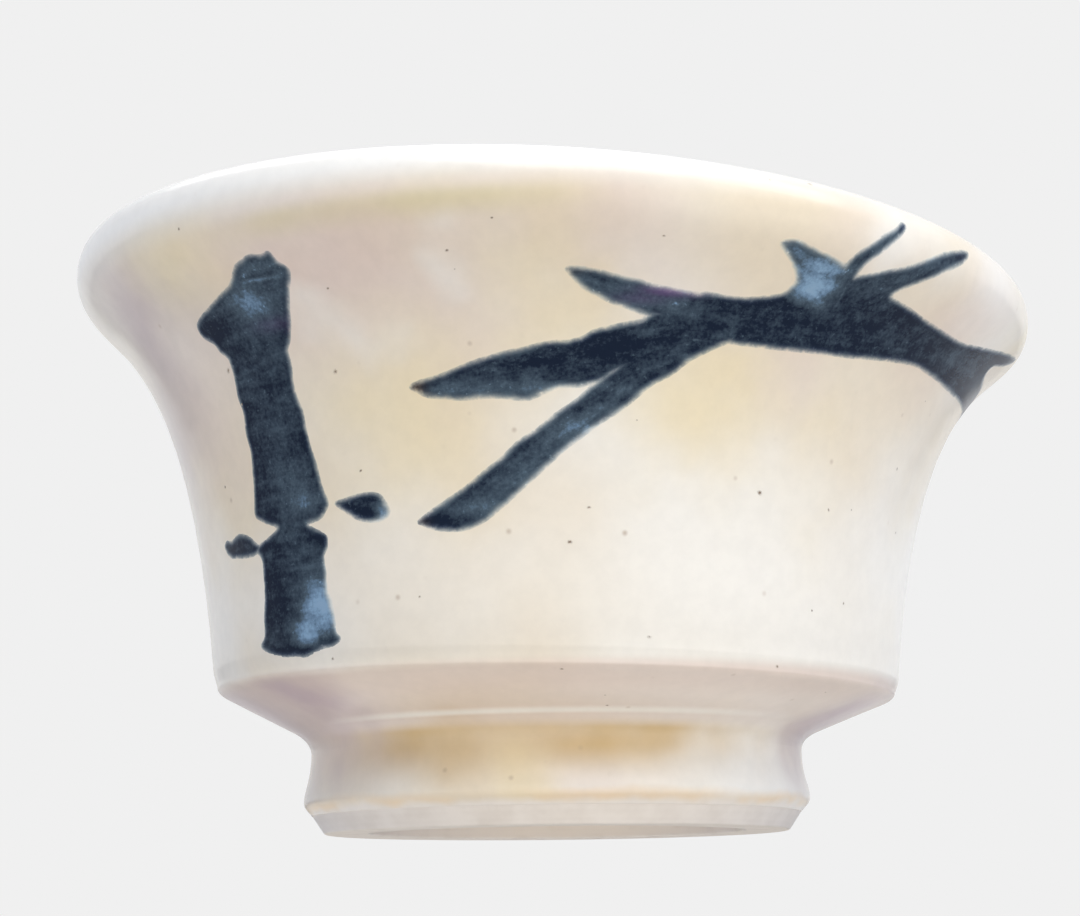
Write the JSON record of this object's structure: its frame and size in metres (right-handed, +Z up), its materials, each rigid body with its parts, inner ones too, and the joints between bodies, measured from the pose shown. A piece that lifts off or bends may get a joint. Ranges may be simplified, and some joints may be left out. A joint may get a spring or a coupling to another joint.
{
  "type": "guinomi sake cup",
  "caption": "Small flared stoneware sake cup on a turned foot ring, cream glazed, with bamboo brushwork on the front of its wall.",
  "frame": {"origin": "centre of the resting face, under the foot ring", "axes": "+Z up out of the cup's mouth; -Y is the painted front; +X is to the right of it, the side to which the lip dips"},
  "size_m": [0.07, 0.07, 0.0429],
  "materials": {
    "clay": "matt fired stoneware, pale grey-buff",
    "cream_glaze": "glossy cream glaze with pinkish and straw-coloured clouds and fine iron specks",
    "brush_ink": "glossy blue-black brush pigment with a grainy edge",
    "brush_wash": "thin blue-grey wash of the same pigment"
  },
  "bodies": {
    "root": {"bowl": "clay", "foot_ring": "clay", "glaze_outside": "cream_glaze", "glaze_inside": "cream_glaze", "glaze_foot": "cream_glaze", "culm_top": "brush_ink", "culm_middle": "brush_ink", "culm_base": "brush_ink", "bud_left": "brush_ink", "bud_right": "brush_ink", "leaf_high": "brush_ink", "leaf_long": "brush_ink", "leaf_low": "brush_ink", "branch": "brush_ink", "sprig_bud": "brush_wash", "sprig_short": "brush_ink", "sprig_long": "brush_ink"}
  },
  "joints": []
}
